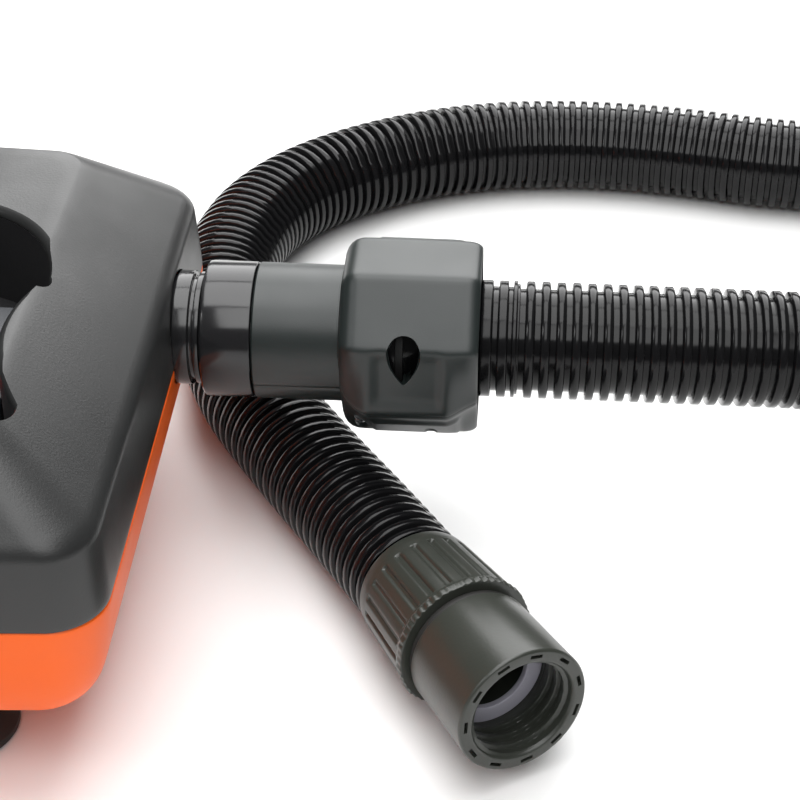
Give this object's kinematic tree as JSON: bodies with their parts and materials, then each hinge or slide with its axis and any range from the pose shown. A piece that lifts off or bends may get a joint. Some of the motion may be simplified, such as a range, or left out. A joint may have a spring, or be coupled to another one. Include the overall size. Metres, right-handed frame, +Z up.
{
  "type": "pet dryer",
  "caption": "Table-top pet dryer: a two-part blower housing with a carrying handle in a roof well and a long corrugated hose on a swivel coupler.",
  "frame": {"origin": "centre of the bounding box of the housing, coupler and cuff, at the underside of the feet", "axes": "+X along the housing towards the air outlet, +Z up, +Y across the housing towards the side the outlet is on"},
  "size_m": [1.1211, 0.4998, 0.1685],
  "materials": {
    "shell_grey": "satin moulded plastic with a fine grain",
    "shell_orange": "semi-gloss moulded plastic",
    "trim_black": "matte moulded plastic",
    "gloss_black": "glossy moulded plastic",
    "console_grey": "satin moulded plastic",
    "switch_black": "semi-gloss plastic",
    "switch_red": "semi-gloss translucent plastic",
    "lens_green": "clear tinted plastic",
    "coupler_grey": "fine spark-eroded grain",
    "hose_black": "glossy corrugated plastic",
    "nozzle_olive": "satin moulded plastic",
    "washer_grey": "soft matte rubber",
    "rubber_black": "matte rubber",
    "steel": "bright zinc-plated steel",
    "lamination": "stacked steel sheet",
    "copper": "enamelled copper wire",
    "carbon": "matte carbon",
    "fan_metal": "bright pressed aluminium",
    "mica": "matte mica board",
    "duct_white": "heat resistant moulding",
    "board_green": "satin circuit board",
    "foam": "open cell foam",
    "pin_brass": "bright brass"
  },
  "bodies": {
    "housing": {"air_duct": "duct_white", "board_components": "trim_black", "board_standoffs": "shell_orange", "bottom_shell": "shell_orange", "carbon_brushes": "carbon", "carry_handle": "shell_grey", "control_board": "board_green", "control_console": "console_grey", "cuff_seal": "rubber_black", "fan_housing": "fan_metal", "foam_filter": "foam", "foot_screws": "steel", "front_bearing": "steel", "front_bracket": "fan_metal", "front_motor_mount": "duct_white", "handle_grip": "rubber_black", "handle_well": "trim_black", "heat_frame": "trim_black", "heater_coils": "steel", "heater_frame": "mica", "hose": "hose_black", "hose_cuff": "gloss_black", "housing_screws": "steel", "indicator_lens": "lens_green", "inlet_pins": "pin_brass", "intake_ring": "trim_black", "motor_can": "steel", "motor_sleeve": "rubber_black", "motor_stator": "lamination", "nozzle_collar": "nozzle_olive", "nozzle_gasket": "trim_black", "outlet_grommet": "rubber_black", "outlet_spigot": "trim_black", "power_frame": "trim_black", "power_inlet": "trim_black", "rear_bearing": "steel", "rear_bracket": "fan_metal", "rear_motor_mount": "duct_white", "rubber_feet": "rubber_black", "speed_control": "trim_black", "spigot_seal": "rubber_black", "swivel_tube": "trim_black", "thermal_cutout": "steel", "top_shell": "shell_grey"},
    "power_switch": {"power_rocker": "switch_red"},
    "heat_switch": {"heat_rocker": "switch_black"},
    "speed_dial": {"speed_knob": "trim_black", "speed_control_shaft": "steel"},
    "rotor": {"motor_shaft": "steel", "armature": "copper", "impeller": "fan_metal"},
    "intake_door": {"intake_cover": "trim_black"},
    "lock_ring": {"lock_collar": "gloss_black"},
    "coupler_grip": {"coupler_upper_shell": "coupler_grey", "coupler_lower_shell": "coupler_grey", "coupler_screws": "steel"},
    "nozzle_end": {"nozzle_socket": "nozzle_olive", "nozzle_washer": "washer_grey"}
  },
  "joints": [
    {"name": "power_switch_rock", "type": "hinge", "parent": "housing", "child": "power_switch", "pos_m": [0.0832, -0.0225, 0.1025], "axis": [1, 0, 0], "range_deg": [-16, 0]},
    {"name": "heat_switch_rock", "type": "hinge", "parent": "housing", "child": "heat_switch", "pos_m": [0.056, -0.0225, 0.1025], "axis": [1, 0, 0], "range_deg": [-16, 0]},
    {"name": "speed_dial_turn", "type": "hinge", "parent": "housing", "child": "speed_dial", "pos_m": [-0.026, -0.0115, 0.104], "axis": [0, 0, 1], "range_deg": [0, 270]},
    {"name": "rotor_spin", "type": "hinge", "parent": "housing", "child": "rotor", "pos_m": [-0.215, 0.02, 0.077], "axis": [1, 0, 0], "continuous": true},
    {"name": "intake_door_twist", "type": "hinge", "parent": "housing", "child": "intake_door", "pos_m": [-0.245, 0.02, 0.077], "axis": [1, 0, 0], "range_deg": [0, 30]},
    {"name": "lock_ring_turn", "type": "hinge", "parent": "housing", "child": "lock_ring", "pos_m": [0.15, 0.045, 0.08], "axis": [1, 0, 0], "range_deg": [0, 40]},
    {"name": "coupler_swivel", "type": "hinge", "parent": "housing", "child": "coupler_grip", "pos_m": [0.2, 0.045, 0.08], "axis": [1, 0, 0], "continuous": true},
    {"name": "nozzle_end_turn", "type": "hinge", "parent": "housing", "child": "nozzle_end", "pos_m": [0.25012, -0.07063, 0.0279], "axis": [0.5103, -0.8571, 0.07], "continuous": true}
  ]
}
